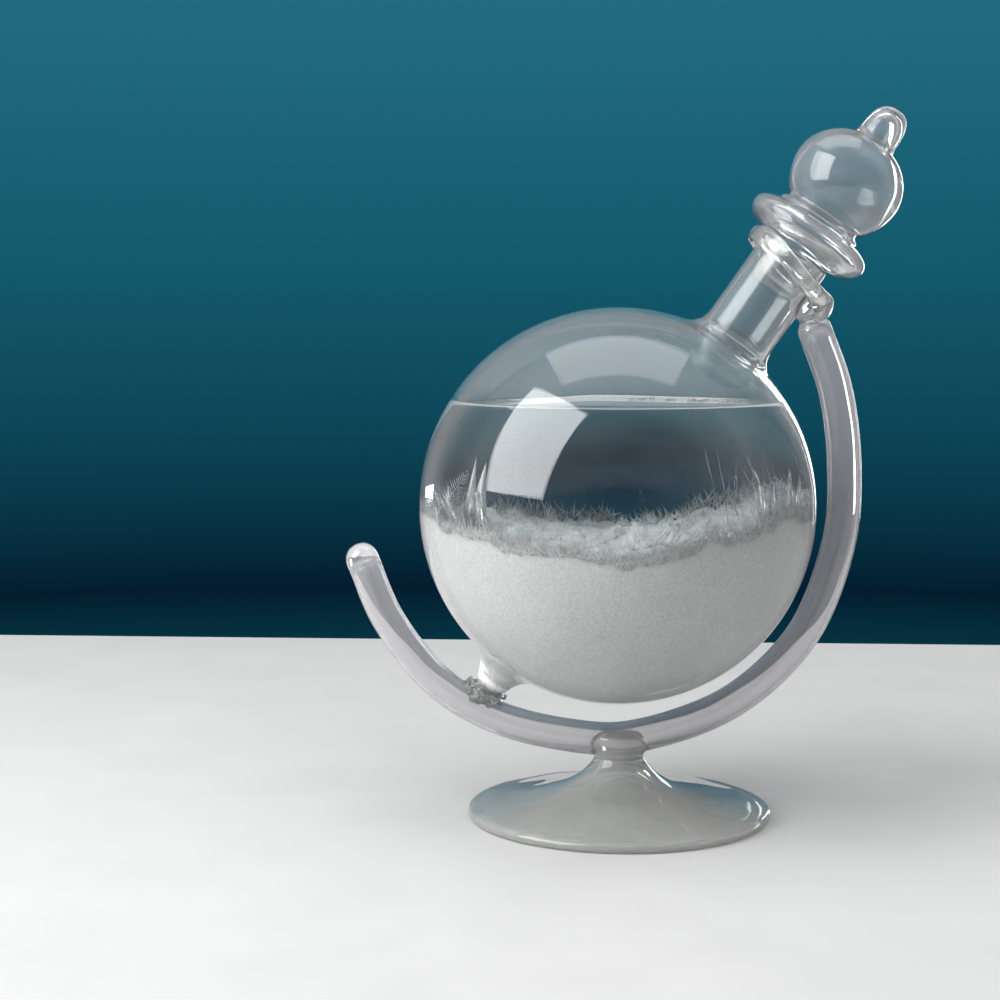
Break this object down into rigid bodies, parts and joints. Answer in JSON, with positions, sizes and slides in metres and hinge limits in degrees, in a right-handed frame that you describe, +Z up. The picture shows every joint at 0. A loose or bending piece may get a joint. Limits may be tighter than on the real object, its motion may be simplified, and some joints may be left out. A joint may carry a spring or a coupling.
{
  "type": "storm glass",
  "caption": "Globe storm glass: leaning blown globe of crystallising solution in a bent glass tube holder on a flared hollow foot, with a lift-out blown stopper.",
  "frame": {"origin": "centre of the round foot on the surface that it stands on", "axes": "+Z up; +X towards the side that the neck and stopper lean to; +Y completes the right-handed frame, through the foot and across the plane of the bent tube"},
  "size_m": [0.1394, 0.1, 0.1786],
  "materials": {
    "borosilicate_glass": "clear, flame polished, faint grey-green in thick sections",
    "storm_solution": "clear still liquid",
    "settled_crystals": "fine white crystal mass, frosted",
    "loose_crystals": "translucent white needles and feathers"
  },
  "bodies": {
    "vessel": {"globe_bulb": "borosilicate_glass", "neck_tube": "borosilicate_glass", "neck_fillet": "borosilicate_glass", "holder_collar": "borosilicate_glass", "collar_bead": "borosilicate_glass", "meridian_arm": "borosilicate_glass", "arm_end_seal": "borosilicate_glass", "pip_bead": "borosilicate_glass", "foot_knot": "borosilicate_glass", "foot_bell": "borosilicate_glass", "storm_solution": "storm_solution", "crystal_bed": "settled_crystals", "crystal_frond_1": "loose_crystals", "crystal_frond_2": "loose_crystals", "crystal_frond_3": "loose_crystals", "crystal_frond_4": "loose_crystals", "crystal_frond_5": "loose_crystals", "crystal_frond_6": "loose_crystals", "crystal_frond_7": "loose_crystals", "crystal_frond_8": "loose_crystals", "crystal_frond_9": "loose_crystals", "crystal_frond_10": "loose_crystals", "crystal_frond_11": "loose_crystals", "crystal_frond_12": "loose_crystals", "crystal_frond_13": "loose_crystals", "crystal_frond_14": "loose_crystals", "crystal_frond_15": "loose_crystals", "crystal_frond_16": "loose_crystals", "floating_flake_1": "loose_crystals", "floating_flake_2": "loose_crystals", "floating_flake_3": "loose_crystals", "floating_flake_4": "loose_crystals", "floating_flake_5": "loose_crystals"},
    "stopper": {"stopper_plug": "borosilicate_glass", "stopper_flange": "borosilicate_glass", "stopper_bulb": "borosilicate_glass", "stopper_finial": "borosilicate_glass"}
  },
  "joints": [
    {"name": "stopper_lift", "type": "slide", "parent": "vessel", "child": "stopper", "axis": [0.5707, 0, 0.8211], "range_m": [0, 0.03]}
  ]
}
